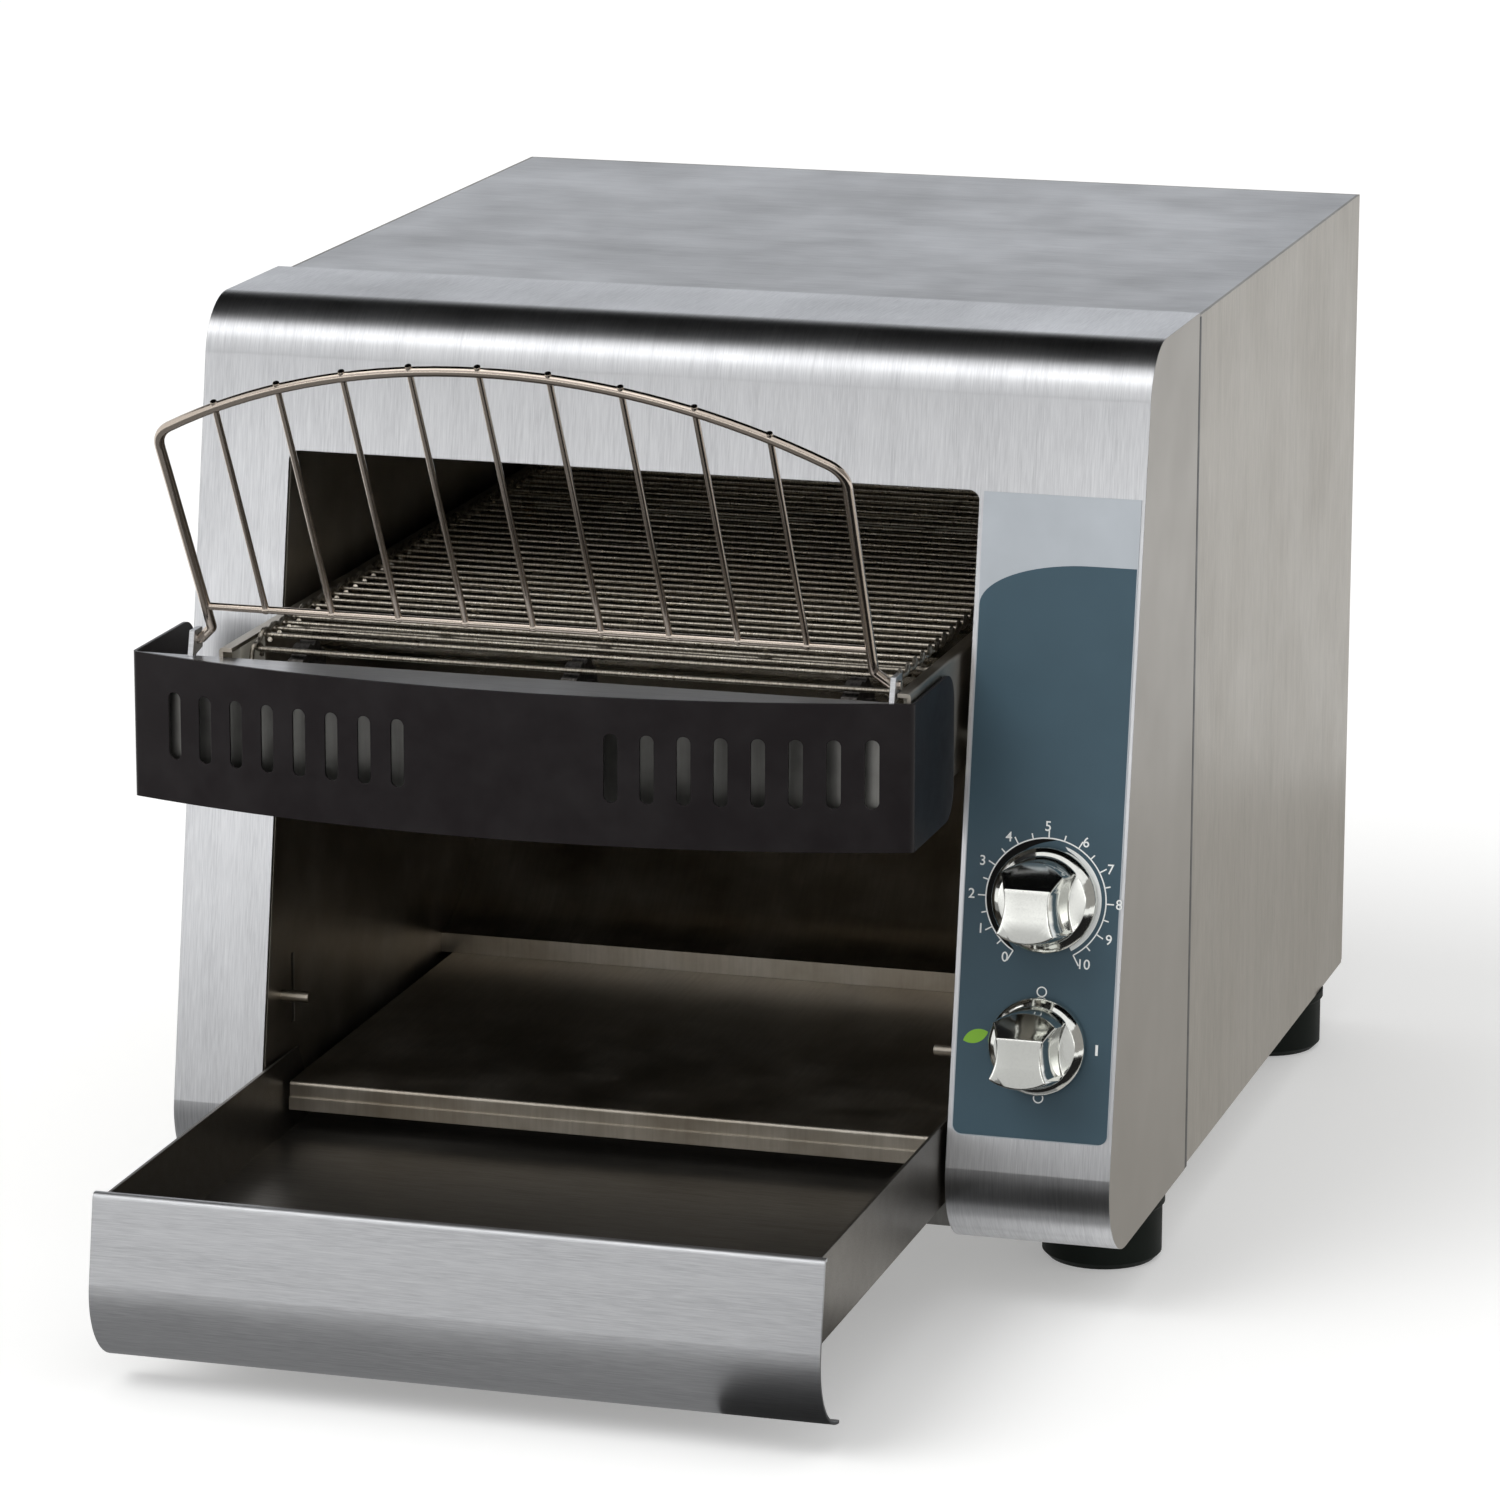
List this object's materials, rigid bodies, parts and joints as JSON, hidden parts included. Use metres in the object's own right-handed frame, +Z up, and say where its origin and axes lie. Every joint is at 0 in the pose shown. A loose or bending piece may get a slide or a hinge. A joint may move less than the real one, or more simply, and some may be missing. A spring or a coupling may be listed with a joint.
{
  "type": "conveyor toaster",
  "caption": "Counter-top conveyor toaster in brushed steel: wire belt behind a bowed slotted guard, leaning wire rack, slide-out tray with a curled front, two knobs on a slanted panel",
  "frame": {"origin": "centre of the footprint's bounding box on the surface that the feet stand on", "axes": "+X to the right seen from the front, front faces -Y, +Z up"},
  "size_m": [0.368, 0.62, 0.3718],
  "materials": {
    "brushed_cover": "vertical brushed grain, satin",
    "brushed_side": "vertical brushed grain, satin",
    "brushed_top": "grain across the top, satin",
    "brushed_tray": "horizontal brushed grain, satin",
    "brushed_bar": "fine grain, semi bright",
    "mill_steel": "plain mill finish",
    "liner_steel": "mill finish, slightly heat toned",
    "reflector": "bright rolled",
    "zinc": "zinc plated",
    "belt_wire": "drawn wire, heat toned",
    "rack_chrome": "nickel-chrome plated wire",
    "knob_chrome": "polished plating",
    "guard_black": "black enamel, half gloss",
    "overlay": "printed slate blue overlay",
    "foot_rubber": "moulded, matte",
    "quartz": "clear quartz",
    "element": "oxidised resistance coil",
    "ceramic": "unglazed ceramic",
    "bearing_plastic": "moulded, natural white",
    "bronze": "sintered bronze",
    "cast_wheel": "machined steel teeth",
    "chain_steel": "oiled roller chain",
    "motor_grey": "grey enamel",
    "board_green": "printed circuit laminate",
    "dark_plastic": "moulded, black"
  },
  "bodies": {
    "frame": {"front_cover": "brushed_cover", "left_side_panel": "brushed_side", "right_side_panel": "brushed_side", "top_panel": "brushed_top", "back_panel": "brushed_side", "base_pan": "mill_steel", "feet": "foot_rubber", "foot_screws": "zinc", "left_liner": "liner_steel", "right_liner": "liner_steel", "chute_pins": "liner_steel", "exit_floor": "liner_steel", "rear_chute": "liner_steel", "upper_reflector": "reflector", "lower_reflector": "reflector", "upper_quartz_tubes": "quartz", "lower_quartz_tubes": "quartz", "heating_coils": "element", "tube_ceramics": "ceramic", "left_rail": "liner_steel", "right_rail": "liner_steel", "rail_spacers": "zinc", "front_bearings": "bearing_plastic", "drive_bearings": "bronze", "wire_belt": "belt_wire", "belt_splice_rod": "belt_wire", "belt_slides": "belt_wire", "bowed_guard": "guard_black", "front_bar": "brushed_bar", "rack_ears": "brushed_bar", "tray_runners": "mill_steel", "control_plate": "overlay", "speed_control": "dark_plastic", "power_switch": "dark_plastic", "speed_board": "board_green", "terminal_block": "bearing_plastic", "cord_gland": "dark_plastic", "drive_chain": "chain_steel", "gearmotor": "motor_grey", "motor_bracket": "mill_steel", "fan_frame": "dark_plastic", "back_screws": "zinc"},
    "rack": {"wire_rack": "rack_chrome"},
    "tray": {"tray_pan": "brushed_tray", "tray_front": "brushed_tray"},
    "drive_roller": {"drive_shaft": "zinc", "drive_wheels": "cast_wheel", "driven_chain_wheel": "cast_wheel"},
    "front_roller": {"front_shaft": "zinc", "front_wheels": "cast_wheel"},
    "motor_output": {"motor_shaft": "zinc", "motor_chain_wheel": "cast_wheel"},
    "fan": {"fan_rotor": "dark_plastic"},
    "speed_dial": {"speed_knob": "knob_chrome", "speed_spindle": "zinc"},
    "power_dial": {"power_knob": "knob_chrome", "power_spindle": "zinc"}
  },
  "joints": [
    {"name": "rack_fold", "type": "hinge", "parent": "frame", "child": "rack", "pos_m": [-0.022, -0.17503, 0.2502], "axis": [-1, 0, 0], "range_deg": [0, 70]},
    {"name": "tray_slide", "type": "slide", "parent": "frame", "child": "tray", "axis": [0, 1, 0], "range_m": [0, 0.168]},
    {"name": "drive_roller_spin", "type": "hinge", "parent": "frame", "child": "drive_roller", "pos_m": [0, 0.18946, 0.23201], "axis": [1, 0, 0], "continuous": true},
    {"name": "front_roller_spin", "type": "hinge", "parent": "frame", "child": "front_roller", "pos_m": [0, -0.15704, 0.23201], "axis": [1, 0, 0], "continuous": true},
    {"name": "motor_output_spin", "type": "hinge", "parent": "frame", "child": "motor_output", "pos_m": [0, 0.18946, 0.11401], "axis": [1, 0, 0], "continuous": true},
    {"name": "fan_spin", "type": "hinge", "parent": "frame", "child": "fan", "pos_m": [0.15205, 0.29776, 0.201], "axis": [0, 1, 0], "continuous": true},
    {"name": "speed_dial_turn", "type": "hinge", "parent": "frame", "child": "speed_dial", "pos_m": [0.1545, -0.11825, 0.1593], "axis": [0, -0.986, 0.1668], "range_deg": [-150, 150]},
    {"name": "power_dial_turn", "type": "hinge", "parent": "frame", "child": "power_dial", "pos_m": [0.1545, -0.1273, 0.1058], "axis": [0, -0.986, 0.1668], "range_deg": [-180, 90]}
  ],
  "couplings": [
    {"joint": "front_roller_spin", "follows": "drive_roller_spin", "ratio": 1},
    {"joint": "motor_output_spin", "follows": "drive_roller_spin", "ratio": 1.3333}
  ]
}
